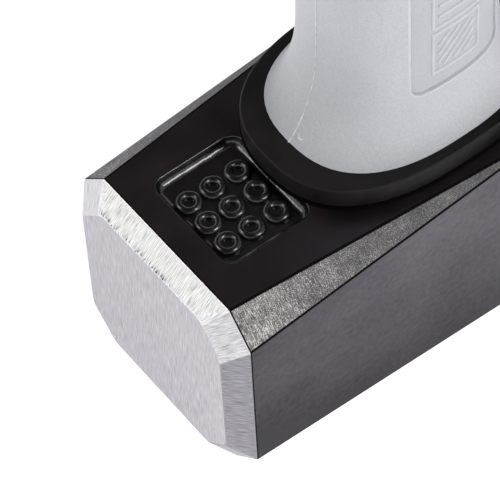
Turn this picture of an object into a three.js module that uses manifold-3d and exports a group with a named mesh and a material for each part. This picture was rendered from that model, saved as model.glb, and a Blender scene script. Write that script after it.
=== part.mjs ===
// A splitting maul with a fibreglass handle, standing on the crown of its head.
//
// Millimetres, +Z up along the handle. The origin is where the handle's axis meets the crown plane.
// +X points to the cutting edge, -X to the square striking poll, and +Y and -Y to the two cheeks.
import * as THREE from 'three';
import { mergeVertices } from 'three/addons/utils/BufferGeometryUtils.js';
import Module from 'manifold-3d';

const wasm = await Module();
wasm.setup();

// ---------------------------------------------------------------- driving dimensions
const GAP = 0.3; // clearance between pieces that touch or are bonded

// The forged head. A station is a distance along X.
const HEAD_WIDTH = 57;
const HEAD_HEIGHT = 55.8;
const POLL_X = -65.7; // flat striking face
const SHOULDER_X = -61.3; // back of the bevel ground round the striking face
const CHEEK_END_X = 22; // the cheeks start to close in here
const BIT_X = 92; // the ground bit starts here
const EDGE_X = 117; // middle of the cutting edge
const BEVEL_IN_Y = 4.7;
const BEVEL_IN_Z = 4.2;
const BIT_HALF_THICKNESS = 8;
const CHEEK_HOLLOW = 11.2; // control half width of the hollow cheek's curve, below the straight line
const EDGE_HALF_THICKNESS = 0.6;
const EDGE_HEIGHT = 74; // the bit flares towards the handle side only, so the crown stays straight
const FLARE_START_X = 38;
const EDGE_BOW = 7; // how far the ends of the edge lie behind its middle
const BOW_START_X = 66;
const FORGED_EDGE = 0.8; // small chamfer where the long corner chamfers have run out

// Each long edge has a corner chamfer, deepest at the poll: its leg across Y, its leg up Z,
// and how far behind the shoulder it runs out. The chamfers are ground by hand, so they differ.
const CORNERS = {
  crownNear: { y: 7.4, z: 7.4, runOut: 127 },
  crownFar: { y: 7.6, z: 7.6, runOut: 127 },
  faceFar: { y: 7.9, z: 8.2, runOut: 81 },
  faceNear: { y: 6.6, z: 7.8, runOut: 82 },
};

// The oval eye through the head is wider at the crown, so the resin wedge holds the handle.
const EYE = { crown: [23, 15.5], face: [21, 14], power: 2.3 };

// The marking pocket in the handle-side face, with a plain grid of raised rings on its floor.
const POCKET = { x: [-54.8, -32.9], y: [-13.5, 13.3], depth: 2, radius: 3 };
const RING = { outer: 3, inner: 1.2, height: 1, x: [-50.7, -44.5, -38], y: [-7.6, -1, 5.6] };

// Handle sections: [z, half length along X, half width along Y, superellipse power].
const JACKET_BASE_Z = 58.4;
const JACKET = [
  [JACKET_BASE_Z, 29.4, 21.7, 2.4],
  [61.4, 29.2, 21.5, 2.4],
  [63.2, 27.7, 20.5, 2.4],
  [65.6, 26.1, 19.5, 2.4],
  [69, 24.3, 18.7, 2.4],
  [73, 22.8, 18, 2.4],
  [78, 21.6, 17.5, 2.4],
  [84, 21, 17.3, 2.4],
  [100, 20.6, 17.2, 2.4],
  [150, 20, 16.8, 2.4],
  [220, 18.6, 15.6, 2.3],
  [330, 17.6, 14.6, 2.2],
  [560, 17.2, 14.2, 2.2],
  [606, 18.4, 15, 2.2],
  [612, 18.6, 15.2, 2.2],
];
const SLEEVE = { halfLength: 15.6, halfWidth: 12.4, power: 2.2, top: 884 }; // jacket under the grip
const GRIP = [
  [612.3, 19.4, 16, 2.2],
  [616, 20.2, 16.6, 2.2],
  [640, 19.6, 16.2, 2.2],
  [700, 18.8, 15.6, 2.2],
  [760, 18.8, 15.6, 2.2],
  [810, 19.8, 16.2, 2.2],
  [845, 21.8, 17.2, 2.2],
  [872, 24.6, 18.6, 2.2],
  [888, 25.6, 19, 2.2],
  [896, 24.8, 18.4, 2.2],
  [900, 22.6, 16.6, 2.2],
];
const CORE = { halfLength: 13.5, halfWidth: 9.5, power: 2.2, bottom: 4, top: 872 };
const BUTT_CAP = { halfLength: 14.6, halfWidth: 11.4, power: 2.2, bottom: 884.4, top: 898.5 };

// The panel sunk into each cheek side of the jacket.
const PANEL = { x: [-9.6, 13.9], z: [77.3, 190], depth: 0.4, radius: 2.4 };

const COLLAR = { halfLength: 34.7, halfWidth: 23.9, power: 2.5, height: 6, edge: 1 };
const DAM_HEIGHT = 5; // soft ring that stops the resin leaking out of the eye

// ---------------------------------------------------------------- geometry helpers
const RING_POINTS = 48;

function oval(halfLength, halfWidth, power, count = RING_POINTS) {
  const signedPower = (value) => Math.sign(value) * Math.abs(value) ** (2 / power);
  return Array.from({ length: count }, (_, i) => {
    const angle = (2 * Math.PI * i) / count;
    const x = halfLength * signedPower(Math.cos(angle));
    const y = halfWidth * signedPower(Math.sin(angle));
    return new THREE.Vector2(x, y);
  });
}

// A closed skin through rings of 3-D points that all turn the same way, with flat caps on the ends.
// The rings are convex, counter-clockwise seen from the last one, so each cap is a fan from its first point.
function loft(rings) {
  const count = rings[0].length;
  const lastStart = (rings.length - 1) * count;
  const index = [];
  for (let start = 0; start < lastStart; start += count) {
    for (let i = 0; i < count; i += 1) {
      const next = (i + 1) % count;
      const [a, b, c, d] = [start + i, start + next, start + count + next, start + count + i];
      index.push(a, b, c, a, c, d);
    }
  }
  for (let i = 1; i + 1 < count; i += 1) {
    index.push(0, i + 1, i);
    index.push(lastStart, lastStart + i, lastStart + i + 1);
  }
  const geometry = new THREE.BufferGeometry().setFromPoints(rings.flat());
  geometry.setIndex(index);
  return geometry;
}

// An upright solid through sections [z, half length, half width, power].
function uprightLoft(sections, grow = 0) {
  const rings = sections.map(([z, halfLength, halfWidth, power]) =>
    oval(halfLength + grow, halfWidth + grow, power).map((p) => new THREE.Vector3(p.x, p.y, z)),
  );
  return solid(loft(rings));
}

function ovalPrism({ halfLength, halfWidth, power }, bottom, top, grow = 0) {
  return uprightLoft([[bottom, halfLength, halfWidth, power], [top, halfLength, halfWidth, power]], grow);
}

function solid(geometry) {
  const bare = geometry.clone();
  bare.deleteAttribute('normal');
  bare.deleteAttribute('uv');
  const merged = mergeVertices(bare, 1e-4);
  return new wasm.Manifold(new wasm.Mesh({
    numProp: 3,
    vertProperties: new Float32Array(merged.attributes.position.array),
    triVerts: new Uint32Array(merged.index.array),
  }));
}

function geometryOf(manifold) {
  const { vertProperties, triVerts } = manifold.getMesh();
  const geometry = new THREE.BufferGeometry();
  geometry.setAttribute('position', new THREE.BufferAttribute(new Float32Array(vertProperties), 3));
  geometry.setIndex(new THREE.BufferAttribute(new Uint32Array(triVerts), 1));
  const faceted = geometry.toNonIndexed();
  faceted.computeVertexNormals();
  return faceted;
}

function roundedRectangle([x0, x1], [y0, y1], radius) {
  const shape = new THREE.Shape();
  shape.absarc(x1 - radius, y0 + radius, radius, -Math.PI / 2, 0);
  shape.absarc(x1 - radius, y1 - radius, radius, 0, Math.PI / 2);
  shape.absarc(x0 + radius, y1 - radius, radius, Math.PI / 2, Math.PI);
  shape.absarc(x0 + radius, y0 + radius, radius, Math.PI, Math.PI * 1.5);
  shape.closePath();
  return shape;
}

function extruded(shape, depth, curveSegments = 6) {
  return new THREE.ExtrudeGeometry(shape, { depth, bevelEnabled: false, curveSegments });
}

const clamp01 = (value) => Math.min(1, Math.max(0, value));

// ---------------------------------------------------------------- the head
function cheekHalfWidth(x) {
  const full = HEAD_WIDTH / 2;
  if (x <= CHEEK_END_X) {
    return full;
  }
  if (x >= BIT_X) {
    return THREE.MathUtils.mapLinear(x, BIT_X, EDGE_X, BIT_HALF_THICKNESS, EDGE_HALF_THICKNESS);
  }
  // Hollow cheek: a parabola that leaves the flat cheek steeply and meets the bit almost level.
  const t = (x - CHEEK_END_X) / (BIT_X - CHEEK_END_X);
  return (1 - t) ** 2 * full + 2 * t * (1 - t) * CHEEK_HOLLOW + t ** 2 * BIT_HALF_THICKNESS;
}

function faceHeight(x) {
  const t = clamp01((x - FLARE_START_X) / (EDGE_X - FLARE_START_X));
  return HEAD_HEIGHT + (EDGE_HEIGHT - HEAD_HEIGHT) * t ** 1.7;
}

function cornerLegs(corner, x, halfWidth) {
  const left = clamp01(1 - (x - SHOULDER_X) / corner.runOut);
  const most = 0.4 * halfWidth;
  return {
    y: Math.min(Math.max(corner.y * left, FORGED_EDGE), most),
    z: Math.max(corner.z * left, FORGED_EDGE),
  };
}

// One ring round the head at station x. inset shrinks it for the striking face.
function headRing(x, insetY = 0, insetZ = 0) {
  const half = cheekHalfWidth(x) - insetY;
  const [low, high] = [insetZ, faceHeight(x) - insetZ];
  const at = Math.max(x, SHOULDER_X);
  const legs = Object.fromEntries(
    Object.entries(CORNERS).map(([name, corner]) => [name, cornerLegs(corner, at, half)]),
  );
  const bowAt = clamp01((x - BOW_START_X) / (EDGE_X - BOW_START_X));
  const point = (y, z) => {
    const fromMiddle = (z - high / 2) / (high / 2);
    return new THREE.Vector3(x - EDGE_BOW * bowAt * fromMiddle ** 2, y, z);
  };
  const levels = 6;
  const cheek = (side, from, to) =>
    Array.from({ length: levels + 1 }, (_, i) => point(side * half, from + ((to - from) * i) / levels));
  return [
    point(-half + legs.crownNear.y, low),
    point(half - legs.crownFar.y, low),
    ...cheek(1, low + legs.crownFar.z, high - legs.faceFar.z),
    point(half - legs.faceFar.y, high),
    point(-half + legs.faceNear.y, high),
    ...cheek(-1, high - legs.faceNear.z, low + legs.crownNear.z),
  ];
}

function headBlank() {
  const stations = [SHOULDER_X, -20, CHEEK_END_X, 28, 35, 43, 52, 61, 71, 81, BIT_X, 105, EDGE_X];
  const strikingFace = headRing(POLL_X, BEVEL_IN_Y, BEVEL_IN_Z);
  return solid(loft([strikingFace, ...stations.map((x) => headRing(x))]));
}

function eyeSolid(bottom, top, grow = 0) {
  const at = (z, i) => THREE.MathUtils.mapLinear(z, 0, HEAD_HEIGHT, EYE.crown[i], EYE.face[i]);
  return uprightLoft([bottom, top].map((z) => [z, at(z, 0), at(z, 1), EYE.power]), grow);
}

function pocketCut() {
  const geometry = extruded(roundedRectangle(POCKET.x, POCKET.y, POCKET.radius), POCKET.depth + 1);
  return solid(geometry.translate(0, 0, HEAD_HEIGHT - POCKET.depth));
}

function raisedRing(x, y) {
  const shape = new THREE.Shape().absarc(0, 0, RING.outer, 0, 2 * Math.PI);
  shape.holes.push(new THREE.Path().absarc(0, 0, RING.inner, 0, 2 * Math.PI));
  const root = 0.5; // sunk into the pocket's floor
  const geometry = extruded(shape, RING.height + root, 10);
  return solid(geometry.translate(x, y, HEAD_HEIGHT - POCKET.depth - root));
}

function headSolid() {
  let head = headBlank().subtract(eyeSolid(-1, HEAD_HEIGHT + 1)).subtract(pocketCut());
  for (const x of RING.x) {
    for (const y of RING.y) {
      head = head.add(raisedRing(x, y));
    }
  }
  return head;
}

// ---------------------------------------------------------------- what fills the eye
const RESIN_TOP = HEAD_HEIGHT - DAM_HEIGHT - GAP;

function resinSolid() {
  return eyeSolid(0, RESIN_TOP, -GAP).subtract(ovalPrism(CORE, CORE.bottom - GAP, RESIN_TOP + 1, GAP));
}

function damSolid() {
  const bottom = RESIN_TOP + GAP;
  return eyeSolid(bottom, HEAD_HEIGHT, -GAP).subtract(ovalPrism(CORE, bottom - 1, HEAD_HEIGHT + 1, GAP));
}

// ---------------------------------------------------------------- the handle
function collarSolid() {
  const { halfLength, halfWidth, power, height, edge } = COLLAR;
  const bottom = HEAD_HEIGHT + GAP;
  const top = bottom + height;
  const pad = uprightLoft([
    [bottom, halfLength - 0.4, halfWidth - 0.4, power],
    [bottom + 0.6, halfLength, halfWidth, power],
    [top - edge, halfLength, halfWidth, power],
    [top, halfLength - edge, halfWidth - edge, power],
  ]);
  const [, seatLength, seatWidth, seatPower] = JACKET[0];
  const seat = { halfLength: seatLength, halfWidth: seatWidth, power: seatPower };
  return pad
    .subtract(ovalPrism(seat, JACKET_BASE_Z - GAP, top + 1, GAP))
    .subtract(ovalPrism(CORE, bottom - 1, top + 1, GAP));
}

// Both cheek sides of the jacket carry the same panel, cut to one depth below the curved surface.
function panelCut() {
  const { x, z, depth, radius } = PANEL;
  const across = 2 * HEAD_WIDTH;
  const geometry = extruded(roundedRectangle(x, z, radius), across).rotateX(Math.PI / 2).translate(0, across / 2, 0);
  return solid(geometry).subtract(uprightLoft(JACKET, -depth));
}

function jacketSolid() {
  const outside = uprightLoft(JACKET).add(ovalPrism(SLEEVE, JACKET.at(-1)[0] - 1, SLEEVE.top));
  return outside.subtract(panelCut()).subtract(ovalPrism(CORE, JACKET_BASE_Z - 1, CORE.top, GAP));
}

function gripSolid() {
  const bottom = GRIP[0][0];
  return uprightLoft(GRIP)
    .subtract(ovalPrism(SLEEVE, bottom - 1, SLEEVE.top + GAP, GAP))
    .subtract(ovalPrism(BUTT_CAP, SLEEVE.top, GRIP.at(-1)[0] + 1, GAP));
}

// ---------------------------------------------------------------- the assembly
const FINISH = {
  paint: { color: 0x1e1b1b, roughness: 0.45, metalness: 0.2 },
  jacket: { color: 0xb9bbbf, roughness: 0.5, metalness: 0 },
  rubber: { color: 0x1c1c1e, roughness: 0.7, metalness: 0 },
  fibreglass: { color: 0xd9c58a, roughness: 0.4, metalness: 0 },
  resin: { color: 0x6b4a2a, roughness: 0.25, metalness: 0 },
};

const PIECES = {
  maul_head: [headSolid(), FINISH.paint],
  eye_resin: [resinSolid(), FINISH.resin],
  resin_dam: [damSolid(), FINISH.rubber],
  fibreglass_core: [ovalPrism(CORE, CORE.bottom, CORE.top - GAP), FINISH.fibreglass],
  head_collar: [collarSolid(), FINISH.rubber],
  handle_jacket: [jacketSolid(), FINISH.jacket],
  soft_grip: [gripSolid(), FINISH.rubber],
  butt_cap: [ovalPrism(BUTT_CAP, BUTT_CAP.bottom, BUTT_CAP.top), FINISH.jacket],
};

const maul = new THREE.Group();
maul.name = 'splitting_maul';
for (const [name, [manifold, finish]] of Object.entries(PIECES)) {
  const mesh = new THREE.Mesh(geometryOf(manifold), new THREE.MeshStandardMaterial(finish));
  mesh.name = name;
  maul.add(mesh);
}

export default maul;
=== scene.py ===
"""A splitting maul standing on its crown: forged head, rubber collar, moulded fibreglass handle, soft grip.

Lengths in this script are millimetres until a mesh is made, and the frame's metres come from MM.
+Z is up the handle, +X points to the cutting edge, -X to the poll, and -Y is the near cheek.
"""
import math

import bmesh
import bpy
from mathutils import Matrix, Vector


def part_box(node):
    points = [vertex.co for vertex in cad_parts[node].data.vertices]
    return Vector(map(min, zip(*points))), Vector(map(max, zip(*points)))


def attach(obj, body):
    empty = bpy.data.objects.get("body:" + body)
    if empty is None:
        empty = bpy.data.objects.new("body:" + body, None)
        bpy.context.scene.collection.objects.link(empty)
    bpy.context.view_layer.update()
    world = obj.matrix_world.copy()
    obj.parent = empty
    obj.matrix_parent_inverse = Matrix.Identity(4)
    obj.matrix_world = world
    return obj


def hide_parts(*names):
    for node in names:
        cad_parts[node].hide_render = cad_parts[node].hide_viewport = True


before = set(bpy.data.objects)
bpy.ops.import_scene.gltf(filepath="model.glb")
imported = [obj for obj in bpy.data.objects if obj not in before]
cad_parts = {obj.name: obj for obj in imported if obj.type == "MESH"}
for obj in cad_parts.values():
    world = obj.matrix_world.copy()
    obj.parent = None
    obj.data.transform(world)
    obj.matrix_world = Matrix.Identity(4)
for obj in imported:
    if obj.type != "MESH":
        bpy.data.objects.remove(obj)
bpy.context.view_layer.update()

MM = 0.001
GAP = 0.3  # between neighbouring pieces


def node_box(node):
    """Lowest and highest corner of a CAD node, in millimetres."""
    low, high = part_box(node)
    return low / MM, high / MM


# ------------------------------------------------------------------ sizes, from the frame
HEAD_LOW, HEAD_HIGH = node_box("maul_head")
COLLAR_LOW, COLLAR_HIGH = node_box("head_collar")
JACKET_LOW = node_box("handle_jacket")[0]
GRIP_LOW, GRIP_HIGH = node_box("soft_grip")
CAP_LOW, CAP_HIGH = node_box("butt_cap")

POLL_X, EDGE_X = HEAD_LOW.x, HEAD_HIGH.x
HALF_WIDTH = HEAD_HIGH.y
EDGE_HEIGHT = HEAD_HIGH.z
FACE_Z = COLLAR_LOW.z - GAP  # the head's handle-side face

BEVEL_DEPTH = 4.4
SHOULDER_X = POLL_X + BEVEL_DEPTH
BEVEL_IN_Y, BEVEL_IN_Z = 4.7, 4.2
CHEEK_END_X = 22
BIT_X = 92
FLARE_START_X, FLARE_POWER = 38, 1.7
BOW_START_X = 66
EDGE_BOW = 7
CHEEK_HOLLOW = 11.2
BIT_HALF_THICKNESS = 8
EDGE_HALF_THICKNESS = 0.35
FORGED_EDGE = 0.8  # the chamfer left on every corner once the big ones have run out

# Corner chamfers at the shoulder: leg across Y, leg along Z, length to the run-out.
CROWN_NEAR, CROWN_FAR = (7.4, 7.4, 127), (7.6, 7.6, 127)
FACE_FAR, FACE_NEAR = (7.9, 8.2, 81), (6.6, 7.8, 82)

POCKET_X, POCKET_Y = (-54.8, -32.9), (-13.5, 13.3)
POCKET_DEPTH, POCKET_RADIUS = 2.0, 3.0
MARK_X, MARK_Y = (-50.7, -44.5, -38.0), (-7.6, -1.0, 5.6)

# Ovals: half length along X, half width along Y, superellipse power.
EYE_CROWN, EYE_FACE, EYE_POWER = (23, 15.5), (21, 14), 2.3
CORE_OVAL = (13.5, 9.5, 2.2)
COLLAR_POWER, CAP_POWER = 2.5, 2.2

# Handle sections: height, then an oval.
# The jacket's spigot goes down into the collar, and its foot overhangs the collar's top by a hair.
JACKET = (
    (58.4, 27.8, 20.2, 2.4), (62.15, 27.8, 20.2, 2.4), (62.2, 28.7, 21.45, 2.48), (62.35, 28.55, 21.35, 2.48),
    (63.2, 27.65, 20.65, 2.45), (65.6, 26.1, 19.5, 2.4), (69, 24.3, 18.7, 2.4), (73, 22.8, 18, 2.4),
    (78, 21.6, 17.5, 2.4), (84, 21, 17.3, 2.4), (100, 20.6, 17.2, 2.4), (150, 20, 16.8, 2.4),
    (220, 18.6, 15.6, 2.3), (330, 17.6, 14.6, 2.2), (560, 17.2, 14.2, 2.2), (606, 18.4, 15, 2.2),
    (612, 18.6, 15.2, 2.2),
)
GRIP = (
    (612.3, 19.4, 16, 2.2), (616, 20.2, 16.6, 2.2), (640, 19.6, 16.2, 2.2), (700, 18.8, 15.6, 2.2),
    (760, 18.8, 15.6, 2.2), (810, 19.8, 16.2, 2.2), (845, 21.8, 17.2, 2.2), (872, 24.6, 18.6, 2.2),
    (888, 25.6, 19, 2.2), (896, 24.8, 18.4, 2.2), (900, 22.6, 16.6, 2.2),
)
GRIP_RIBS = (634, 806)
RIB_PITCH, RIB_DEPTH = 8, 0.9
STUDS_LOW = 820
PANEL_X, PANEL_Z = (-9.6, 13.9), (77.3, 190)
PANEL_DEPTH, PANEL_RADIUS = 0.4, 2.4
FRAME_X = (-4.5, 7.4)
LOW_FRAME_Z, TALL_FRAME_Z = (81.7, 93.6), (95.4, 178)


# ------------------------------------------------------------------ camera and studio
def viewing_axes(azimuth, elevation, roll):
    """Right, up and back axes of a camera that looks down on the object from that side."""
    a, e, r = math.radians(azimuth), math.radians(elevation), math.radians(roll)
    back = Vector((math.sin(a) * math.cos(e), -math.cos(a) * math.cos(e), math.sin(e)))
    level = Vector((0, 0, 1)).cross(back).normalized()
    upright = back.cross(level)
    right = level * math.cos(r) - upright * math.sin(r)
    return right, back.cross(right), back


def add_camera():
    right, up, back = viewing_axes(azimuth=-34.87, elevation=54.47, roll=3.57)
    aim = Vector((-40.5, -0.65, 35.1)) * MM
    distance = 0.7
    camera = bpy.data.objects.new("camera", bpy.data.cameras.new("camera"))
    bpy.context.scene.collection.objects.link(camera)
    camera.data.sensor_width = 36
    camera.data.lens = 239.4
    camera.data.clip_start = 0.02
    camera.data.clip_end = 20
    place = aim + back * distance
    camera.matrix_world = Matrix.Translation(place) @ Matrix((right, up, back)).transposed().to_4x4()
    bpy.context.scene.camera = camera


def linear(code):
    """An sRGB hex colour as linear RGBA."""
    parts = [int(code[i:i + 2], 16) / 255 for i in (1, 3, 5)]
    return tuple(c / 12.92 if c <= 0.04045 else ((c + 0.055) / 1.055) ** 2.4 for c in parts) + (1.0,)


def add(tree, kind, inputs=None, stops=(), **settings):
    """Adds one node. inputs maps its sockets, by name or number, to a value or to another node's output, and
    stops are a colour ramp's positions and sRGB hex colours."""
    made = tree.nodes.new(kind)
    for name, value in settings.items():
        setattr(made, name, value)
    for name, value in (inputs or {}).items():
        if isinstance(value, bpy.types.NodeSocket):
            tree.links.new(value, made.inputs[name])
        else:
            made.inputs[name].default_value = value
    if stops:
        elements = made.color_ramp.elements
        while len(elements) < len(stops):
            elements.new(0.5)
        for element, (position, code) in zip(elements, stops):
            element.position = position
            element.color = linear(code)
    return made


def add_world():
    """A white tent round the object: bright at the horizon, dim overhead where the roof is open."""
    world = bpy.data.worlds.new("white_tent")
    world.use_nodes = True
    tree = world.node_tree
    tree.nodes.clear()
    toward = add(tree, "ShaderNodeTexCoord").outputs["Generated"]
    split = add(tree, "ShaderNodeSeparateXYZ", {"Vector": toward})
    stops = [(0.0, "#ffffff"), (0.42, "#f4f4f5"), (0.58, "#5c5758"), (1.0, "#343132")]
    light = add(tree, "ShaderNodeValToRGB", {"Fac": split.outputs["Z"]}, stops).outputs["Color"]
    tent = add(tree, "ShaderNodeBackground", {"Color": light, "Strength": 0.95})
    add(tree, "ShaderNodeOutputWorld", {"Surface": tent.outputs[0]})
    bpy.context.scene.world = world


def add_softbox(name, place, aim, size, power):
    light = bpy.data.lights.new(name, "AREA")
    light.shape = "RECTANGLE"
    light.size, light.size_y = size
    light.energy = power
    made = bpy.data.objects.new(name, light)
    bpy.context.scene.collection.objects.link(made)
    made.location = place
    made.rotation_euler = (Vector(aim) - Vector(place)).to_track_quat("-Z", "Y").to_euler()


def white_sweep():
    """Matt white table: mostly lit by the tent, with a little glow so the contact shadow stays soft."""
    material = bpy.data.materials.new("matt_white_table")
    material.use_nodes = True
    tree = material.node_tree
    shader = tree.nodes["Principled BSDF"]
    shader.inputs["Base Color"].default_value = linear("#f2f2f2")
    shader.inputs["Roughness"].default_value = 0.9
    shader.inputs["Specular IOR Level"].default_value = 0.1
    shader.inputs["Emission Color"].default_value = linear("#faf8ff")
    shader.inputs["Emission Strength"].default_value = 0.78
    return material


def add_studio():
    bpy.context.scene.view_settings.view_transform = "Standard"
    add_world()
    half = 4.0
    corners = [(-half, -half), (half, -half), (half, half), (-half, half)]
    mesh = bpy.data.meshes.new("floor")
    mesh.from_pydata([(x, y, -0.0004) for x, y in corners], [], [(0, 1, 2, 3)])
    floor = bpy.data.objects.new("floor", mesh)
    bpy.context.scene.collection.objects.link(floor)
    floor.data.materials.append(white_sweep())
    add_softbox("wide_left_softbox", (-1.5, 0.5, 0.75), (0, 0, 0.05), (1.4, 1.2), 2.4)
    add_softbox("near_key_light", (0.52, -0.95, 1.24), (0, 0, 0.06), (0.45, 0.45), 8.4)
    add_softbox("far_kicker", (-0.77, 0.81, 1.28), (0, 0, 0.06), (0.45, 0.45), 3.6)


# ------------------------------------------------------------------ mesh helpers
def make_object(name, points, faces, materials, face_slots=None):
    mesh = bpy.data.meshes.new(name)
    mesh.from_pydata([Vector(p) * MM for p in points], [], faces)
    mesh.validate()
    for material in materials:
        mesh.materials.append(material)
    if face_slots:
        mesh.polygons.foreach_set("material_index", face_slots)
    made = bpy.data.objects.new(name, mesh)
    bpy.context.scene.collection.objects.link(made)
    return made


def ring_faces(ring_count, count, closed=False):
    """Quads between rings of points, and a flat cap at each end unless the rings close on themselves. They
    face out where the rings turn counter-clockwise seen from the last."""
    faces = []
    for r in range(ring_count if closed else ring_count - 1):
        here, there = r * count, (r + 1) % ring_count * count
        for i in range(count):
            after = (i + 1) % count
            faces.append((here + i, here + after, there + after, there + i))
    if not closed:
        last = (ring_count - 1) * count
        faces += [tuple(reversed(range(count))), tuple(range(last, last + count))]
    return faces


def loft(name, rings, materials, closed=False, face_slots=None):
    """A closed skin through rings of points."""
    faces = ring_faces(len(rings), len(rings[0]), closed)
    return make_object(name, [p for ring in rings for p in ring], faces, materials, face_slots)


def share(low, high, value):
    """How far a value has come from low to high, kept between 0 and 1."""
    return min(1.0, max(0.0, (value - low) / (high - low)))


def smooth_step(low, high, value):
    t = share(low, high, value)
    return t * t * (3 - 2 * t)


def signed_power(value, exponent):
    return math.copysign(abs(value) ** exponent, value)


def oval_reach(offset, half, power):
    """An oval's reach at an offset from its middle, as a share of its full reach there."""
    return max(0.0, 1 - abs(offset / half) ** power) ** (1 / power)


def oval(half_length, half_width, power, z, count=144):
    angles = [math.tau * i / count for i in range(count)]
    bend = 2 / power
    return [
        (half_length * signed_power(math.cos(a), bend), half_width * signed_power(math.sin(a), bend), z)
        for a in angles
    ]


def section(table, z):
    """The handle's section at a height: a smooth curve through the table that never overshoots it."""
    index = next((i for i, row in enumerate(table[1:]) if z <= row[0]), len(table) - 2)
    low, high = table[index], table[index + 1]
    t = share(low[0], high[0], z)

    def slope(i, k):
        if i <= 0 or i >= len(table) - 1:
            return 0.0
        before = (table[i][k] - table[i - 1][k]) / (table[i][0] - table[i - 1][0])
        after = (table[i + 1][k] - table[i][k]) / (table[i + 1][0] - table[i][0])
        return 0.0 if before * after <= 0 else 2 * before * after / (before + after)

    def value(k):
        span = high[0] - low[0]
        start, end = slope(index, k) * span, slope(index + 1, k) * span
        return (
            (2 * t ** 3 - 3 * t ** 2 + 1) * low[k] + (t ** 3 - 2 * t ** 2 + t) * start
            + (3 * t ** 2 - 2 * t ** 3) * high[k] + (t ** 3 - t ** 2) * end
        )

    return value(1), value(2), value(3)


def shade_smooth(piece):
    piece.data.polygons.foreach_set("use_smooth", [True] * len(piece.data.polygons))


def finish_mesh(piece, sharp_degrees):
    """Smooth shading that keeps flat faces flat and the edges past an angle sharp."""
    shade_smooth(piece)
    piece.data.set_sharp_from_angle(angle=math.radians(sharp_degrees))
    weighted = piece.modifiers.new("flat_faces", "WEIGHTED_NORMAL")
    weighted.keep_sharp = True
    weighted.weight = 100
    bake_modifiers(piece)


def bake_modifiers(piece):
    """Turns the piece's modifiers into plain mesh."""
    seen = piece.evaluated_get(bpy.context.evaluated_depsgraph_get())
    mesh = bpy.data.meshes.new_from_object(seen)
    piece.modifiers.clear()
    old = piece.data
    piece.data = mesh
    mesh.name = piece.name
    bpy.data.meshes.remove(old)


def cut(piece, tool):
    """Cuts the tool's shape out of the piece."""
    modifier = piece.modifiers.new("cut", "BOOLEAN")
    modifier.operation = "DIFFERENCE"
    modifier.solver = "EXACT"
    modifier.object = tool
    bake_modifiers(piece)
    bpy.data.objects.remove(tool)


def settle(piece, slot, *nodes):
    """The piece moves with the one body and stands for its CAD nodes. Its slot is not used."""
    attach(piece, "root")
    if nodes:
        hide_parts(*nodes)


# ------------------------------------------------------------------ materials
def new_material(name, roughness, metallic=0.0, specular=0.5):
    material = bpy.data.materials.new(name)
    material.use_nodes = True
    tree = material.node_tree
    shader = tree.nodes["Principled BSDF"]
    shader.inputs["Metallic"].default_value = metallic
    shader.inputs["Roughness"].default_value = roughness
    shader.inputs["Specular IOR Level"].default_value = specular
    return material, tree, shader


def object_noise(tree, size_mm, detail=2.0, stretch=(1, 1, 1)):
    """Noise whose cells are about size_mm across, in the object's own space."""
    place = add(tree, "ShaderNodeTexCoord").outputs["Object"]
    mapped = add(tree, "ShaderNodeMapping", {"Vector": place, "Scale": stretch})
    inputs = {"Vector": mapped.outputs[0], "Scale": 1 / (size_mm * MM), "Detail": detail}
    return add(tree, "ShaderNodeTexNoise", inputs).outputs["Fac"]


def brushed_noise(tree, u_mm, v_mm, detail=3.0):
    """Streaks on the grinding map, which is in millimetres: u_mm by v_mm is one streak's size."""
    place = add(tree, "ShaderNodeUVMap", uv_map="grinding").outputs[0]
    mapped = add(tree, "ShaderNodeMapping", {"Vector": place, "Scale": (1 / u_mm, 1 / v_mm, 1)})
    inputs = {"Vector": mapped.outputs[0], "Scale": 1.0, "Detail": detail}
    return add(tree, "ShaderNodeTexNoise", inputs).outputs["Fac"]


def object_place(tree):
    """X, Y and Z of the shaded point, in metres."""
    place = add(tree, "ShaderNodeTexCoord").outputs["Object"]
    return add(tree, "ShaderNodeSeparateXYZ", {"Vector": place}).outputs


def layered(tree, base, *layers, operation="ADD"):
    """Adds layers to a base value, or multiplies it by them. Each layer is a pattern, the two ends of the
    range it is read over, and what those ends become."""
    for pattern, low, high, to_low, to_high in layers:
        ends = {"From Min": low, "From Max": high, "To Min": to_low, "To Max": to_high}
        layer = add(tree, "ShaderNodeMapRange", {"Value": pattern, **ends}).outputs[0]
        base = add(tree, "ShaderNodeMath", {0: base, 1: layer}, operation=operation).outputs[0]
    return base


def cover(tree, shader, pattern, stops, rough=None, relief=None, depth_mm=0.0):
    """Colours the surface by a pattern. rough is the range that the pattern is read over and the roughness
    it becomes, and relief is the pattern that stands up by depth_mm."""
    colour = add(tree, "ShaderNodeValToRGB", {"Fac": pattern}, stops).outputs["Color"]
    tree.links.new(colour, shader.inputs["Base Color"])
    if rough:
        tree.links.new(layered(tree, 0.0, (pattern, *rough)), shader.inputs["Roughness"])
    if relief:
        inputs = {"Height": relief, "Distance": depth_mm * MM, "Strength": 1.0}
        tree.links.new(add(tree, "ShaderNodeBump", inputs).outputs[0], shader.inputs["Normal"])
    return colour


def black_enamel():
    """Sprayed satin enamel on the crown and the handle side: warm near black with a faint orange peel."""
    material, tree, shader = new_material("satin_black_enamel", roughness=0.4)
    drift, peel = object_noise(tree, 12, detail=6), object_noise(tree, 0.6, detail=3)
    cover(tree, shader, drift, [(0.3, "#0f0b0d"), (0.7, "#21181b")], (0.3, 0.7, 0.32, 0.42), peel, 0.022)
    return material


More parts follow.
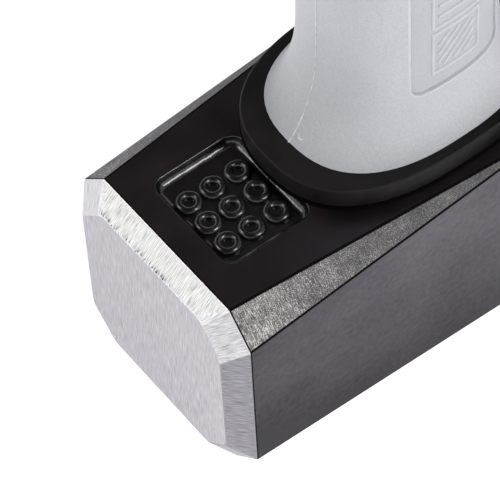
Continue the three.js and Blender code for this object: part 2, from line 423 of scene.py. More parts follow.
def thin_enamel():
    """Thin smoky enamel on the cheeks: the milled steel shows through as soft streaks and clouds. Painted
    shade darkens it towards the poll and, much more, towards the crown."""
    material, tree, shader = new_material("thin_smoky_enamel", roughness=0.4, specular=0.2)
    clouds, mottling = object_noise(tree, 26, detail=3), object_noise(tree, 1.3, detail=5)
    streaks = object_noise(tree, 1.6, detail=3, stretch=(0.05, 0.05, 1))
    peel = object_noise(tree, 0.7, detail=3)
    place = object_place(tree)
    shown_and_painted_shade = layered(
        tree, 0.5,
        (clouds, 0.3, 0.7, -0.12, 0.12),
        (streaks, 0.3, 0.7, -0.03, 0.03),
        (mottling, 0.3, 0.7, -0.1, 0.1),
        # painted shade: darker towards the poll and, more, towards the crown
        (place["X"], SHOULDER_X * MM, -15 * MM, -0.14, 0.06),
        (place["Z"], 4 * MM, 38 * MM, -0.4, 0.06),
    )
    stops = [(0.1, "#1a171b"), (0.5, "#424046"), (0.8, "#59555c")]
    cover(tree, shader, shown_and_painted_shade, stops, (0.2, 0.8, 0.46, 0.34), peel, 0.02)
    return material


def gloss_enamel():
    """The same enamel pooled thick in the pocket: glossy, with soft sags that catch the light."""
    material, tree, shader = new_material("pooled_gloss_enamel", roughness=0.25, specular=1.0)
    drift, sags = object_noise(tree, 4, detail=2), object_noise(tree, 2.4, detail=2)
    cover(tree, shader, drift, [(0.3, "#0a0909"), (0.7, "#141112")], relief=sags, depth_mm=0.15)
    return material


def masked_edge():
    """Dull bead of enamel where the masking met bare steel."""
    material, tree, shader = new_material("enamel_masking_line", roughness=0.85, specular=0.1)
    cover(tree, shader, object_noise(tree, 0.6), [(0.3, "#060606"), (0.7, "#0f0f10")])
    return material


def ground_face():
    """Surface-ground carbon steel: bright, with close parallel grinding lines. The real lines are under
    0.1 mm apart, and they are drawn coarser so that they show."""
    material, tree, shader = new_material("surface_ground_steel", roughness=0.38, metallic=1.0)
    lines = brushed_noise(tree, u_mm=0.2, v_mm=4.5, detail=4)
    cover(tree, shader, lines, [(0.3, "#8b8a8d"), (0.7, "#d1d0d2")], (0.3, 0.7, 0.3, 0.46), lines, 0.012)
    return material


def ground_bit():
    """Belt-ground cutting bit: lengthwise belt lines, brightest on the last few millimetres at the edge. The
    real lines are about 0.1 mm apart, and they are drawn coarser so that they show."""
    material, tree, shader = new_material("belt_ground_bit_steel", roughness=0.34, metallic=1.0)
    lines = object_noise(tree, 0.8, detail=4, stretch=(0.04, 0.04, 1))
    tone = layered(tree, lines, (object_place(tree)["X"], (EDGE_X - 8) * MM, (EDGE_X - 3) * MM, 0, 0.1))
    stops = [(0.3, "#858587"), (0.5, "#a5a4a6"), (0.7, "#d2d2d1")]
    cover(tree, shader, tone, stops, (0.3, 0.7, 0.42, 0.26), lines, 0.02)
    return material


def burr_shadow(tree):
    """1 in the ragged nicks that the belt left where the upper bevel meets the striking face, painted dark
    as the shadow of their burr; 0 elsewhere.
    """
    place = object_place(tree)
    border_z = (FACE_Z - BEVEL_IN_Z) * MM
    ragged = brushed_noise(tree, u_mm=0.5, v_mm=3)
    return layered(
        tree, 1.0,
        (place["X"], (POLL_X + 0.15) * MM, (POLL_X + 0.9) * MM, 1, 0),
        (place["Y"], -12 * MM, -5 * MM, 0, 1),
        (place["Z"], border_z - 0.1 * MM, border_z, 0, 1),
        (ragged, 0.5, 0.6, 0, 1),
        operation="MULTIPLY",
    )


def ground_bevel(name, dark, middle, bright):
    """Hand-ground bevel: belt lines run across it, and its colour is painted light: a painted highlight where
    the bevel faces the light, painted shade where it faces away. The real lines are about 0.1 mm apart, and
    they are drawn coarser so that they show."""
    material, tree, shader = new_material(name, roughness=0.3, metallic=1.0)
    lines = brushed_noise(tree, u_mm=0.2, v_mm=3.2, detail=4)
    stops = [(0.32, dark), (0.5, middle), (0.68, bright)]
    clean = cover(tree, shader, lines, stops, (0.3, 0.7, 0.24, 0.42), lines, 0.03)
    factor, first, second, mixed_colour = 0, 6, 7, 2  # the Mix node's colour sockets
    inputs = {factor: burr_shadow(tree), first: clean, second: linear("#2b2927")}
    # the burr's painted shadow: dark brown mixed into the bevel's colour
    burr_shadowed = add(tree, "ShaderNodeMix", inputs, data_type="RGBA")
    tree.links.new(burr_shadowed.outputs[mixed_colour], shader.inputs["Base Color"])
    return material


def blasted_steel():
    """Grit-blasted, lacquered steel on the corner chamfers: speckled grey, scratched and brighter at the
    poll, and darkened on the far side by painted shade."""
    material, tree, shader = new_material("blasted_lacquered_steel", 0.62, metallic=0.2, specular=0.3)
    grit, patches = object_noise(tree, 0.2, detail=3), object_noise(tree, 5, detail=2)
    scratches = brushed_noise(tree, u_mm=1.8, v_mm=0.2, detail=3)
    place = object_place(tree)
    at_poll = layered(tree, 0.0, (place["X"], SHOULDER_X * MM, (SHOULDER_X + 45) * MM, 1, 0))
    scored = layered(tree, at_poll, (scratches, 0, 1, -0.5, 0.5), operation="MULTIPLY")
    tone = add(tree, "ShaderNodeMath", {0: grit, 1: scored}, operation="ADD").outputs[0]
    mixed = layered(
        tree, tone,
        (at_poll, 0, 1, -0.06, 0.09),
        (patches, 0.3, 0.7, -0.055, 0.055),
        # painted shade on the far side
        (place["Y"], 0, 20 * MM, 0, -0.13),
    )
    stops = [(0.26, "#3b3a3b"), (0.47, "#676667"), (0.60, "#908f8e"), (0.74, "#e6e4e1")]
    cover(tree, shader, mixed, stops, relief=tone, depth_mm=0.06)
    return material


def moulded_polypropylene(name, dark, pale, grain_mm):
    """Injection-moulded light grey polypropylene with slight flow shading and a spark-eroded satin grain,
    drawn coarser than it is so that it shows. The panel's floor is finer and reads a little darker."""
    material, tree, shader = new_material(name, roughness=0.5, specular=0.4)
    flow, grain = object_noise(tree, 16, detail=2), object_noise(tree, grain_mm, detail=3)
    shade = layered(tree, flow, (grain, 0.3, 0.7, -0.5, 0.5))
    cover(tree, shader, shade, [(0.0, dark), (1.0, pale)], relief=grain, depth_mm=0.05)
    return material


def rubbed_highlit_polypropylene():
    """The same polypropylene on raised lines and the panels' lips, rubbed smooth and paler by hands, and
    painted paler still as the highlight that their rounded tops catch.
    """
    material, tree, shader = new_material("rubbed_highlit_polypropylene", roughness=0.4, specular=0.5)
    rubbed, grain = object_noise(tree, 3, detail=3), object_noise(tree, 0.6)
    cover(tree, shader, rubbed, [(0.3, "#c9cbd0"), (0.7, "#d9dade")], relief=grain, depth_mm=0.02)
    return material


def parting_flash():
    """Thin flash at the mould's parting line, where trimming has stress-whitened the polypropylene."""
    material, tree, shader = new_material("stress_whitened_flash", roughness=0.42)
    scuffs = object_noise(tree, 2.2, detail=3)
    cover(tree, shader, scuffs, [(0.35, "#c8cace"), (0.6, "#fafafb")], relief=scuffs, depth_mm=0.03)
    return material


def moulded_rubber():
    """Compression-moulded black rubber: matt, paled in patches where wax has bloomed to the surface, and
    painted lighter towards the poll and darker towards the cutting edge: painted light and shade.
    """
    material, tree, shader = new_material("moulded_black_rubber", roughness=0.5, specular=0.22)
    along, grain = object_place(tree)["X"], object_noise(tree, 0.5, detail=2)
    # patches of bloom, plus painted light towards the poll and painted shade towards the cutting edge
    bloom_and_painted_light = layered(tree, object_noise(tree, 5, detail=3), (along, -28 * MM, 2 * MM, 0.25, -0.15))
    cover(tree, shader, bloom_and_painted_light, [(0.3, "#080708"), (0.75, "#1c191a")], (0.2, 0.8, 0.4, 0.56), grain, 0.02)
    return material


def painted_contact_shadow():
    """Dead matt near black, for the painted contact shadow: the joint between the collar and the head reads
    as a dark line.
    """
    material, tree, shader = new_material("matt_black_contact_shadow", roughness=0.9, specular=0.08)
    drift = object_noise(tree, 1.5, detail=3)
    cover(tree, shader, drift, [(0.3, "#030303"), (0.7, "#080808")], relief=drift, depth_mm=0.1)
    return material


def pultruded_glass():
    """Pultruded glass fibre rod: straw coloured, its lengthwise fibres drawn coarse enough to show."""
    material, tree, shader = new_material("pultruded_fibreglass", roughness=0.35)
    fibres = object_noise(tree, 0.5, stretch=(1, 1, 0.02))
    cover(tree, shader, fibres, [(0.3, "#c9b069"), (0.7, "#e6d49a")], relief=fibres, depth_mm=0.02)
    return material


def cast_epoxy():
    """Poured amber epoxy, glossy and slightly cloudy."""
    material, tree, shader = new_material("poured_epoxy", roughness=0.18)
    cloud = object_noise(tree, 11, detail=2)
    cover(tree, shader, cloud, [(0.3, "#5a3a1b"), (0.7, "#755026")], relief=cloud, depth_mm=0.15)
    return material


# ------------------------------------------------------------------ the head
HEAD_MATERIALS = (
    "paint", "cheek", "face", "lit_bevel", "half_lit_bevel", "shaded_bevel", "blasted", "mask", "gloss", "bit",
)
# the three bevel slots hold one ground steel with painted highlight, painted half light and painted shade
PAINT, CHEEK_PAINT, FACE_STEEL, LIT_BEVEL, HALF_LIT_BEVEL, SHADED_BEVEL = range(6)
BLASTED, MASK_LINE, GLOSS, BIT_STEEL = range(6, 10)
CORNER_STEPS = 4
CHEEK_SIDES, CHEEK_LEVELS = (2, 6), 9
BLASTED_FACE, BLASTED_CROWN = 76, 118  # how far behind the shoulder the chamfers were blasted


def cheek_half_width(x):
    if x <= CHEEK_END_X:
        return HALF_WIDTH
    if x >= BIT_X:
        ground = (x - BIT_X) / (EDGE_X - BIT_X)
        return BIT_HALF_THICKNESS + (EDGE_HALF_THICKNESS - BIT_HALF_THICKNESS) * ground
    t = (x - CHEEK_END_X) / (BIT_X - CHEEK_END_X)
    return (1 - t) ** 2 * HALF_WIDTH + 2 * t * (1 - t) * CHEEK_HOLLOW + t ** 2 * BIT_HALF_THICKNESS


def blended_half_width(x):
    """The cheek's outline with the forging's soft turn from flat cheek to hollow."""
    reach, clear_of_bit, samples = 4.0, 5, 9
    if x >= BIT_X - clear_of_bit:
        return cheek_half_width(x)
    return sum(cheek_half_width(x + reach * (2 * i / (samples - 1) - 1)) for i in range(samples)) / samples


def face_height(x):
    return FACE_Z + (EDGE_HEIGHT - FACE_Z) * share(FLARE_START_X, EDGE_X, x) ** FLARE_POWER


def chamfer_legs(corner, x, half):
    leg_y, leg_z, run_out = corner
    left = 1 - share(SHOULDER_X, SHOULDER_X + run_out, x)
    return min(max(leg_y * left, FORGED_EDGE), 0.4 * half), max(leg_z * left, FORGED_EDGE)


def head_corners(x, inset):
    """The head's octagon at a station. inset 1 is the striking face, 0 the full body."""
    half = blended_half_width(x) - BEVEL_IN_Y * inset
    low, high = BEVEL_IN_Z * inset, face_height(x) - BEVEL_IN_Z * inset
    at = max(x, SHOULDER_X)
    shrink = 1 - 0.06 * inset  # the striking face's corners are cut a little shorter
    near_low, far_low, far_high, near_high = (
        [leg * shrink for leg in chamfer_legs(corner, at, half)]
        for corner in (CROWN_NEAR, CROWN_FAR, FACE_FAR, FACE_NEAR)
    )
    return [
        (-half + near_low[0], low), (half - far_low[0], low),
        (half, low + far_low[1]), (half, high - far_high[1]),
        (half - far_high[0], high), (-half + near_high[0], high),
        (-half, high - near_high[1]), (-half, low + near_low[1]),
    ]


def head_ring(x, inset=0.0):
    """One ring of the head, its corners turned with a small radius and its cheeks divided for the bow."""
    radius = 0.35 + 1.1 * inset  # the belt rounded the striking face's corners more
    corners = [Vector(c) for c in head_corners(x, inset)]
    high = max(c.y for c in corners)
    outline = []
    for i, corner in enumerate(corners):
        before, after = corners[i - 1], corners[(i + 1) % len(corners)]
        r = min(radius, 0.4 * (before - corner).length, 0.4 * (after - corner).length)
        start = corner + (before - corner).normalized() * r
        end = corner + (after - corner).normalized() * r
        for s in range(CORNER_STEPS + 1):
            t = s / CORNER_STEPS
            outline.append((1 - t) ** 2 * start + 2 * t * (1 - t) * corner + t ** 2 * end)
        if i in CHEEK_SIDES:
            following = corners[i + 1]
            outline += [end.lerp(following, (s + 1) / (CHEEK_LEVELS + 1)) for s in range(CHEEK_LEVELS)]
    bow = share(BOW_START_X, EDGE_X, x)
    return [(x - EDGE_BOW * bow * (2 * p.y / high - 1) ** 2, p.x, p.y) for p in outline]


def ring_segments():
    """(side, corner) of each step round a head ring. corner is the side that a rounding leads from."""
    half = ["crown_chamfer", "cheek", "face_chamfer"]
    sides = ["crown"] + half + ["face"] + half[::-1]
    steps = []
    for i, side in enumerate(sides):
        steps += [(side, sides[i - 1])] * CORNER_STEPS
        steps += [(side, None)] * (CHEEK_LEVELS + 1 if i in CHEEK_SIDES else 1)
    return steps


def head_stations():
    """(x, inset) from the striking face to the edge, close together where the section changes fast."""
    poll = [
        (POLL_X, 1.06), (POLL_X + 0.05, 1.02), (POLL_X + 0.18, 0.96),
        (SHOULDER_X - 0.2, 0.045), (SHOULDER_X - 0.02, 0.01), (SHOULDER_X + 0.3, 0.0),
    ]
    body = [SHOULDER_X + 1.5] + [SHOULDER_X + 6 * i for i in range(1, 13)]
    blade = [15 + 2.2 * i for i in range(35)] + [BIT_X - 0.25, BIT_X + 0.25]
    bit = [BIT_X + 2.4 * i for i in range(1, 10)] + [EDGE_X - 1, EDGE_X]
    return poll + [(x, 0.0) for x in body + blade + bit]


def bevel_slot(side, corner):
    """Painted light on the poll's bevel: a painted highlight along the face's handle side, half light at its
    corners and painted shade elsewhere.
    """
    grades = {"face": LIT_BEVEL, "face_chamfer": HALF_LIT_BEVEL}
    both = [grades.get(name, SHADED_BEVEL) for name in (side, corner) if name]
    return min(both)


def body_slot(side, corner, x):
    """The finish behind the shoulder: enamel, bare chamfers near the poll, and the enamel's edge by them."""
    behind = x - SHOULDER_X
    reach = BLASTED_FACE if side == "face_chamfer" else BLASTED_CROWN
    if side.endswith("chamfer") and not corner and behind < reach:
        return BLASTED
    if corner and behind < BLASTED_FACE:
        return MASK_LINE
    return CHEEK_PAINT if "cheek" in (side, corner) else PAINT


def head_slots(stations):
    """The material of each quad of the head, ring by ring, then the two caps."""
    slots = []
    for (x, _), (x_next, _) in zip(stations, stations[1:]):
        for side, corner in ring_segments():
            if x_next < SHOULDER_X:
                slots.append(bevel_slot(side, corner))
            elif x < SHOULDER_X:
                slots.append(MASK_LINE)
            elif x >= BIT_X:
                slots.append(BIT_STEEL)
            else:
                slots.append(body_slot(side, corner, x))
    return slots + [FACE_STEEL, BIT_STEEL]


def rounded_rectangle(x_range, y_range, radius, grow, z, steps=8):
    (x0, x1), (y0, y1) = x_range, y_range
    r = radius + grow
    left, right, low, high = x0 + radius, x1 - radius, y0 + radius, y1 - radius
    centres = [(right, low), (right, high), (left, high), (left, low)]
    points = []
    for quarter, (cx, cy) in enumerate(centres):
        for s in range(steps + 1):
            a = math.pi / 2 * (quarter - 1 + s / steps)
            points.append((cx + r * math.cos(a), cy + r * math.sin(a), z))
    return points


def pocket_tool():
    """The pocket's shape: wide floor fillet, slight draft, and a rim that rolls over into the face."""
    fillet, draft = 1.7, 0.12
    profile = []
    for step in range(9):
        a = math.pi / 2 * step / 8
        profile.append((-POCKET_DEPTH + fillet * (1 - math.cos(a)), -draft - fillet * (1 - math.sin(a))))
    profile += [(-0.3, 0), (-0.16, 0.05), (-0.06, 0.15), (0, 0.3), (1, 0.6)]
    rings = [rounded_rectangle(POCKET_X, POCKET_Y, POCKET_RADIUS, grow, FACE_Z + z) for z, grow in profile]
    return loft("pocket_tool", rings, [])


def eye_tool():
    rings = []
    for z in (-1.0, FACE_Z + 1):
        t = z / FACE_Z
        half_length = EYE_CROWN[0] + (EYE_FACE[0] - EYE_CROWN[0]) * t
        half_width = EYE_CROWN[1] + (EYE_FACE[1] - EYE_CROWN[1]) * t
        rings.append(oval(half_length, half_width, EYE_POWER, z))
    return loft("eye_tool", rings, [])


def lay_grinding_lines(piece):
    """A UV map in millimetres: U along each facet's edge and V across the facet, the way it was ground."""
    mesh = piece.data
    layer = mesh.uv_layers.new(name="grinding")
    x_axis = Vector((1, 0, 0))
    for polygon in mesh.polygons:
        normal = polygon.normal
        along = Vector((0, 1, 0)) if abs(normal.x) > 0.99 else x_axis.cross(normal).normalized()
        across = normal.cross(along)
        for index in polygon.loop_indices:
            point = mesh.vertices[mesh.loops[index].vertex_index].co / MM
            layer.data[index].uv = (point.dot(along), point.dot(across))


def make_head(materials):
    stations = head_stations()
    rings = [head_ring(x, inset) for x, inset in stations]
    slots = [materials[name] for name in HEAD_MATERIALS]
    head = loft("maul_head_forging", rings, slots, face_slots=head_slots(stations))
    cut(head, eye_tool())
    cut(head, pocket_tool())
    for polygon in head.data.polygons:
        x, y, z = polygon.center / MM
        inside = all(low - 0.2 < v < high + 0.2 for v, (low, high) in ((x, POCKET_X), (y, POCKET_Y)))
        if inside and FACE_Z - POCKET_DEPTH - 0.1 < z < FACE_Z - 0.02:
            polygon.material_index = GLOSS
    finish_mesh(head, sharp_degrees=32)
    lay_grinding_lines(head)
    settle(head, "painted_steel", "maul_head")


def instance_tree(name, sizes, build_shape, material):
    """Geometry Nodes: one shape on each point of a cloud. sizes maps its named inputs to their defaults."""
    tree = bpy.data.node_groups.new(name, "GeometryNodeTree")
    tree.interface.new_socket("Geometry", in_out="INPUT", socket_type="NodeSocketGeometry")
    for size, value in sizes.items():
        socket = tree.interface.new_socket(size, in_out="INPUT", socket_type="NodeSocketFloat")
        socket.default_value = value
    tree.interface.new_socket("Geometry", in_out="OUTPUT", socket_type="NodeSocketGeometry")
    given = add(tree, "NodeGroupInput").outputs
    placed = add(tree, "GeometryNodeInstanceOnPoints", {
        "Points": given["Geometry"], "Instance": build_shape(tree, given),
    })
    real = add(tree, "GeometryNodeRealizeInstances", {"Geometry": placed.outputs["Instances"]})
    smooth = add(tree, "GeometryNodeSetShadeSmooth", {"Geometry": real.outputs[0]})
    painted = add(tree, "GeometryNodeSetMaterial", {"Geometry": smooth.outputs[0], "Material": material})
    add(tree, "NodeGroupOutput", {"Geometry": painted.outputs[0]})
    return tree


def ring_shape(tree, given):
    sizes = ((40, given["Ring Radius"]), (14, given["Wire Radius"]))
    path, wire = (
        add(tree, "GeometryNodeCurvePrimitiveCircle", {"Resolution": steps, "Radius": radius})
        for steps, radius in sizes
    )
    curves = {"Curve": path.outputs["Curve"], "Profile Curve": wire.outputs["Curve"]}
    return add(tree, "GeometryNodeCurveToMesh", curves).outputs["Mesh"]


def stud_shape(tree, given):
    ball = add(tree, "GeometryNodeMeshUVSphere", {"Segments": 16, "Rings": 8, "Radius": given["Stud Radius"]})
    return ball.outputs["Mesh"]


def apply_tree(name, points, tree):
    """Runs a Geometry Nodes tree on a cloud of points and keeps the plain mesh."""
    piece = make_object(name, points, [], [])
    modifier = piece.modifiers.new("nodes", "NODES")
    modifier.node_group = tree
    bake_modifiers(piece)
    return piece


def make_pocket_marks(material):
    sizes = {"Ring Radius": 2.1 * MM, "Wire Radius": 1.0 * MM}
    tree = instance_tree("pocket_rings", sizes, ring_shape, material)
    wire_centre = FACE_Z - POCKET_DEPTH + 0.15
    points = [(x, y, wire_centre) for x in MARK_X for y in MARK_Y]
    settle(apply_tree("pocket_ring_marks", points, tree), "painted_steel")


# ------------------------------------------------------------------ the collar
def make_contact_shadow_bead(material):
    """A thin matt black bead round the collar's foot, on the head: the painted contact shadow where the
    collar meets the head.
    """
    # Out past the collar's foot, and up from the head's face.
    profile = [(-1.2, 0.05), (0.2, 0.05), (0.16, 0.2), (-0.04, 0.36), (-0.4, 0.44), (-1.2, 0.28)]
    rings = [
        oval(COLLAR_HIGH.x + out, COLLAR_HIGH.y + out, COLLAR_POWER, FACE_Z + up) for out, up in profile
    ]
    # a dark bead standing for the contact shadow
    bead_ring = loft("collar_contact_shadow_bead", rings, [material], closed=True)
    shade_smooth(bead_ring)
    settle(bead_ring, "black_rubber")


def make_collar(material):
    half_length, half_width = COLLAR_HIGH.x, COLLAR_HIGH.y
    low, high = COLLAR_LOW.z, COLLAR_HIGH.z
    seat_z = JACKET_LOW.z - GAP
    base = JACKET[0]

    def outer(z, grow):
        return oval(half_length + grow, half_width + grow, COLLAR_POWER, z)

    def seat(z, grow):
        return oval(base[1] + GAP + grow, base[2] + GAP + grow, base[3], z)

    def bore(z):
        return oval(CORE_OVAL[0] + GAP, CORE_OVAL[1] + GAP, CORE_OVAL[2], z)

    rings = [
        bore(low), outer(low, -1.0), outer(low + 0.2, -0.55), outer(low + 0.55, -0.18), outer(low + 1.0, 0),
        outer(high - 0.55, 0), outer(high - 0.3, -0.06), outer(high - 0.1, -0.2), outer(high, -0.5),
        seat(high, 0.25), seat(high - 0.1, 0.05), seat(high - 0.3, 0), seat(seat_z, 0), bore(seat_z),
    ]
    collar = loft("rubber_head_collar", rings, [material], closed=True)
    finish_mesh(collar, sharp_degrees=50)
    settle(collar, "black_rubber", "head_collar")


# ------------------------------------------------------------------ the handle jacket
SIDE_REACH = 15.6  # the cheek sides carry the panel, so their lines stand at fixed X out to here
FLASH_HALF = 0.003  # half the parting line's flash, as a share of an end's half turn
FLASH_HEIGHT = 0.2
LIP_AT = 0.3  # the panel's raised lip, outside its outline
FRAME_BEAD, RIB_BEAD, SCAR_BEAD = (0.75, 0.38), (0.7, 0.34), (0.26, 0.2)  # width and height
EDGE_OUT, EDGE_IN, FINE_STEP = 0.9, PANEL_RADIUS + 0.4, 0.13  # close mesh lines at the panel's edges
JACKET_MATERIALS = ("jacket", "flash", "rubbed_highlit", "panel")
MOULDING, FLASH, RUBBED_HIGHLIT_LIP, PANEL_FLOOR = range(4)


def spaced(low, high, fine_spans, fine, coarse):
    """Values from low to high, fine apart inside the given spans and coarse apart elsewhere."""
    values, value = [], low
    while value < high - fine / 2:
        values.append(value)
        value += fine if any(start < value < end for start, end in fine_spans) else coarse
    return values + [high]


def side_lines():
    """X of the upright mesh lines on a cheek side, close together at the panel's edges."""
    low, high = PANEL_X
    edges = [(low - EDGE_OUT, low + EDGE_IN), (high - EDGE_IN, high + EDGE_OUT)]
    return spaced(-SIDE_REACH, SIDE_REACH, edges, FINE_STEP, 1.1)


def end_lines():
    """Positions round a handle end, from -1 to 1, with close lines at the mould's parting line."""
    even = [-1 + i / 12 for i in range(1, 12)]
    beside = [FLASH_HALF * k for k in (1, 2, 4, 8)]
    return even + [-v for v in reversed(beside)] + [0.0] + beside + [-v for v in reversed(even)]


def panel_distance(x, z):
    """How far outside the panel's rounded outline a point of the cheek side lies. Inside it is negative."""
    cx, cz = sum(PANEL_X) / 2, sum(PANEL_Z) / 2
    hx, hz = (PANEL_X[1] - PANEL_X[0]) / 2, (PANEL_Z[1] - PANEL_Z[0]) / 2
    dx, dz = abs(x - cx) - hx + PANEL_RADIUS, abs(z - cz) - hz + PANEL_RADIUS
    return math.hypot(max(dx, 0), max(dz, 0)) + min(max(dx, dz), 0) - PANEL_RADIUS


def panel_sink(x, z):
    """How deep the cheek side is sunk at a point: a step, a small lip outside and a groove at its foot."""
    distance = panel_distance(x, z)
    step = PANEL_DEPTH * (1 - smooth_step(-0.16, 0.0, distance))

    def swell(height, at, spread):
        return height * math.exp(-((distance - at) / spread) ** 2)

    return step + swell(height=0.12, at=-0.2, spread=0.12) - swell(height=0.14, at=LIP_AT, spread=0.26)


def side_depth(x, z):
    """Half width of the jacket at x on a cheek side."""
    half_length, half_width, power = section(JACKET, z)
    return half_width * oval_reach(x, half_length, power) - panel_sink(x, z)


def poll_end_reach(y, z):
    """How far the jacket's poll end stands out along -X at a point."""
    half_length, half_width, power = section(JACKET, z)
    return half_length * oval_reach(y, half_width, power)


def jacket_ring(z):
    half_length, half_width, power = section(JACKET, z)
    lines = side_lines()
    reach = math.acos(min(1.0, SIDE_REACH / half_length) ** (power / 2))

    def end(side):
        points = []
        for value in end_lines():
            angle = reach * value
            length = half_length + FLASH_HEIGHT * (1 - smooth_step(0.5, 1.5, abs(value) / FLASH_HALF))
            x = side * length * math.cos(angle) ** (2 / power)
            y = side * half_width * signed_power(math.sin(angle), 2 / power)
            points.append((x, y, z))
        return points

    near = [(x, -side_depth(x, z), z) for x in lines]
    far = [(x, side_depth(x, z), z) for x in reversed(lines)]
    return near + end(1) + far + end(-1)


def jacket_slot(polygon):
    """Moulding, the parting line's flash, the rubbed lip round each panel with its painted highlight, or the
    panel's floor.
    """
    x, y, z = polygon.center / MM
    if abs(y) < 0.12 and len(polygon.vertices) == 4:
        return FLASH
    distance = panel_distance(x, z)
    if distance < -0.1:
        return PANEL_FLOOR
    # the lip takes the rubbed material, painted paler as its highlight
    return RUBBED_HIGHLIT_LIP if abs(distance - LIP_AT) < 0.2 else MOULDING


def jacket_heights():
    """Z of the jacket's rings, close together at the flared foot and at the panel's ends."""
    low, high = PANEL_Z
    spigot_and_lip, top = [row[0] for row in JACKET[:4]], JACKET[-1][0]
    foot = spigot_and_lip + spaced(spigot_and_lip[-1] + 0.3, low - EDGE_OUT, [], 0.5, 0.6)[:-1]
    ends = [(low - 1, low + EDGE_IN), (high - EDGE_IN, high + 1)]
    panel = spaced(low - EDGE_OUT, high + EDGE_OUT, ends, FINE_STEP, 1.6)[:-1]
    return foot + panel + spaced(high + EDGE_OUT, top, [], 1, 6)


def bead(surface, path, width, height, closed=False):
    """Points and faces of a half-round bead that follows a path of (u, z) places laid on a surface."""
    profile = [(-0.5, -0.4), (-0.5, 0.0), (-0.3, 0.8), (0.0, 1.0), (0.3, 0.8), (0.5, 0.0), (0.5, -0.4)]
    path = [Vector(p) for p in path]
    count = len(path)
    points = []
    for i, place in enumerate(path):
        before = path[i - 1] if closed or i else None
        after = path[(i + 1) % count] if closed or i + 1 < count else None
        legs = [(before, place), (place, after)]
        steps = [(end - start).normalized() for start, end in legs if start and end]
        along = sum(steps, Vector((0, 0))).normalized()
        across = Vector((-along.y, along.x)) / max(0.5, along.dot(steps[0]))
        for u, lift in profile:
            x, z = place + across * u * width
            points.append(surface(x, z, lift * height))
    return points, ring_faces(count, len(profile), closed)


def stepped(corners, step=1.2, closed=False):
    """A path through the corners with extra points, so that it can follow a curved surface."""
    pairs = list(zip(corners, corners[1:] + corners[:1] if closed else corners[1:]))
    path = []
    for start, end in pairs:
        start, end = Vector(start), Vector(end)
        pieces = max(1, round((end - start).length / step))
        path += [start.lerp(end, i / pieces) for i in range(pieces)]
    return path if closed else path + [Vector(corners[-1])]


def frame_path(x_range, z_range):
    (x0, x1), (z0, z1) = x_range, z_range
    return stepped([(x0, z0), (x1, z0), (x1, z1), (x0, z1)], closed=True)


def rib_paths():
    """Slanted ribs in the low frame and level ribs up the tall one: a plain pattern in place of any mark."""
    (x0, x1), margin = FRAME_X, 1.4
    z0, z1 = LOW_FRAME_Z
    left, right, low, high = x0 + margin, x1 - margin, z0 + margin, z1 - margin
    slant, pitch, ribs = high - low, 2.6, 6
    paths = []
    for i in range(ribs):
        start = left - slant + pitch * (i + 1)
        foot = (max(left, start), low + max(0, left - start))
        head = (min(right, start + slant), low + min(slant, right - start))
        paths.append(stepped([foot, head]))
    level = 3.1
    z = TALL_FRAME_Z[0] + level
    while z < TALL_FRAME_Z[1] - margin:
        paths.append(stepped([(left, z), (right, z)]))
        z += level
    return paths


def make_jacket_marks(raised, flash):
    """The raised frames and ribs in both panels, and the gate's small hooked scar by the foot."""
    beads = []
    for side in (-1, 1):
        def cheek(x, z, lift, side=side):
            return x, side * (side_depth(x, z) + lift), z

        for z_range in (LOW_FRAME_Z, TALL_FRAME_Z):
            beads.append(bead(cheek, frame_path(FRAME_X, z_range), *FRAME_BEAD, closed=True))
        beads += [bead(cheek, path, *RIB_BEAD) for path in rib_paths()]

    def poll_end(y, z, lift):
        return -poll_end_reach(y, z) - lift, y, z

    hook = [(-1.1, 64.6), (-1.25, 64.1), (-1.6, 63.8), (-2.1, 63.8), (-2.5, 64.1)]
    beads.append(bead(poll_end, hook, *SCAR_BEAD))
    points, faces, slots = [], [], []
    for bead_points, bead_faces in beads:
        faces += [tuple(len(points) + i for i in face) for face in bead_faces]
        points += bead_points
        slots += [int(bead_points is beads[-1][0])] * len(bead_faces)
    marks = make_object("jacket_raised_marks", points, faces, [raised, flash], slots)
    bm = bmesh.new()
    bm.from_mesh(marks.data)
    bmesh.ops.recalc_face_normals(bm, faces=bm.faces)
    bm.to_mesh(marks.data)
    bm.free()
    finish_mesh(marks, sharp_degrees=60)
    settle(marks, "jacket_plastic")


def make_jacket(materials):
    rings = [jacket_ring(z) for z in jacket_heights()]
    jacket = loft("handle_jacket_moulding", rings, materials)
    for polygon in jacket.data.polygons:
        polygon.material_index = jacket_slot(polygon)
    finish_mesh(jacket, sharp_degrees=60)
    settle(jacket, "jacket_plastic", "handle_jacket")


# ------------------------------------------------------------------ the grip and butt cap
def make_grip(material):
    low, high = GRIP_LOW.z, GRIP_HIGH.z
    mouth, round_over, count = 4, 4, 220  # the mouth that takes the handle, and the rounded top edge

    def bore(z):
        return oval(CAP_HIGH.x + GAP, CAP_HIGH.y + GAP, CAP_POWER, z)

    rings = [bore(low + mouth)]
    heights = [low + (high - round_over - low) * i / count for i in range(count + 1)]
    for z in heights:
        half_length, half_width, power = section(GRIP, z)
        wave = 0.5 - 0.5 * math.cos(math.tau * (z - GRIP_RIBS[0]) / RIB_PITCH)
        ribbed = GRIP_RIBS[0] < z < GRIP_RIBS[1]
        groove = RIB_DEPTH * smooth_step(0.45, 0.95, wave) if ribbed else 0.0
        rings.append(oval(half_length - groove, half_width - groove, power, z))
    half_length, half_width, power = section(GRIP, high - round_over)
    for s in range(1, 9):
        a = math.pi / 2 * s / 8
        inward, up = round_over * (1 - math.cos(a)), round_over * math.sin(a)
        rings.append(oval(half_length - inward, half_width - inward, power, high - round_over + up))
    rings += [bore(z) for z in (high, high - 0.6, CAP_LOW.z)]
    grip = loft("soft_rubber_grip", rings, [material])
    finish_mesh(grip, sharp_degrees=50)
    settle(grip, "black_rubber", "soft_grip")


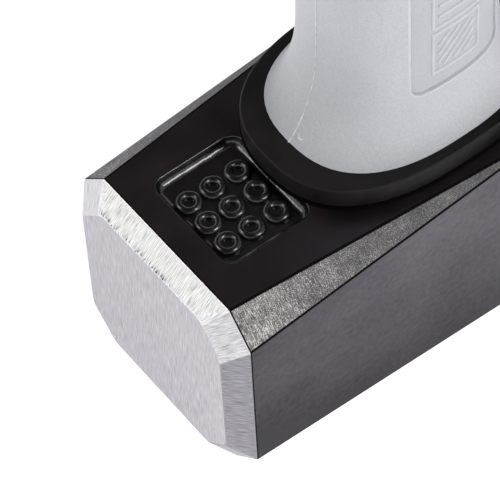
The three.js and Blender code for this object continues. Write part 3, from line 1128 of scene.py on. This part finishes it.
def make_grip_studs(material):
    """Staggered rubber studs on both cheek sides of the palm swell."""
    radius, sunk, pitch, rows, columns = 1.5, 0.8, 5.4, 9, 6
    row_pitch = pitch * 0.87
    tree = instance_tree("grip_studs", {"Stud Radius": radius * MM}, stud_shape, material)
    points = []
    for row in range(rows):
        z = STUDS_LOW + row_pitch * row
        half_length, half_width, power = section(GRIP, z)
        for column in range(columns + row % 2):
            x = pitch * (column - (columns - 1 + row % 2) / 2)
            y = half_width * oval_reach(x, half_length, power) - sunk
            points += [(x, -y, z), (x, y, z)]
    settle(apply_tree("soft_grip_studs", points, tree), "black_rubber")


def make_butt_cap(material):
    low, high = CAP_LOW.z, CAP_HIGH.z
    edge_and_dish = ((0.2, 0.5), (0.7, 0.1), (1.3, 0), (3.6, 0), (4.0, 0.2), (4.2, 0.8), (4.6, 1.0))
    profile = [(0, high - low), (0, 1.0), *edge_and_dish]
    rings = [
        oval(CAP_HIGH.x - inward, CAP_HIGH.y - inward, CAP_POWER, high - down) for inward, down in profile
    ]
    cap = loft("butt_cap_moulding", rings, [material])
    finish_mesh(cap, sharp_degrees=50)
    settle(cap, "jacket_plastic", "butt_cap")


def dress_hidden_nodes(materials):
    """The pieces inside the eye and the handle keep their CAD shape and get their own finish."""
    for node, name in (("eye_resin", "epoxy"), ("fibreglass_core", "glass"), ("resin_dam", "rubber")):
        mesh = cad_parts[node].data
        mesh.materials.clear()
        mesh.materials.append(materials[name])


def main():
    add_camera()
    add_studio()
    materials = {
        "paint": black_enamel(), "cheek": thin_enamel(), "gloss": gloss_enamel(), "mask": masked_edge(),
        "face": ground_face(), "bit": ground_bit(),
        # one belt-ground steel, painted three ways: highlight, half light and shade
        "lit_bevel": ground_bevel("belt_ground_steel_painted_highlight", "#a3a3a2", "#dfdfde", "#fafaf9"),
        "half_lit_bevel": ground_bevel("belt_ground_steel_painted_half_light", "#9a9a99", "#c4c4c3", "#e6e6e4"),
        "shaded_bevel": ground_bevel("belt_ground_steel_painted_shade", "#6b6a6d", "#8a898d", "#abaaad"),
        "blasted": blasted_steel(),
        "jacket": moulded_polypropylene("moulded_polypropylene", "#bec0c4", "#cbccd0", 0.5),
        "panel": moulded_polypropylene("fine_grained_polypropylene", "#b6b8bc", "#c2c3c7", 0.35),
        "flash": parting_flash(), "rubbed_highlit": rubbed_highlit_polypropylene(),
        "rubber": moulded_rubber(), "contact_shadow": painted_contact_shadow(),
        "glass": pultruded_glass(), "epoxy": cast_epoxy(),
    }
    make_head(materials)
    make_pocket_marks(materials["gloss"])
    make_collar(materials["rubber"])
    make_contact_shadow_bead(materials["contact_shadow"])
    make_jacket([materials[name] for name in JACKET_MATERIALS])
    make_jacket_marks(materials["rubbed_highlit"], materials["flash"])
    make_grip(materials["rubber"])
    make_grip_studs(materials["rubber"])
    make_butt_cap(materials["jacket"])
    dress_hidden_nodes(materials)


main()
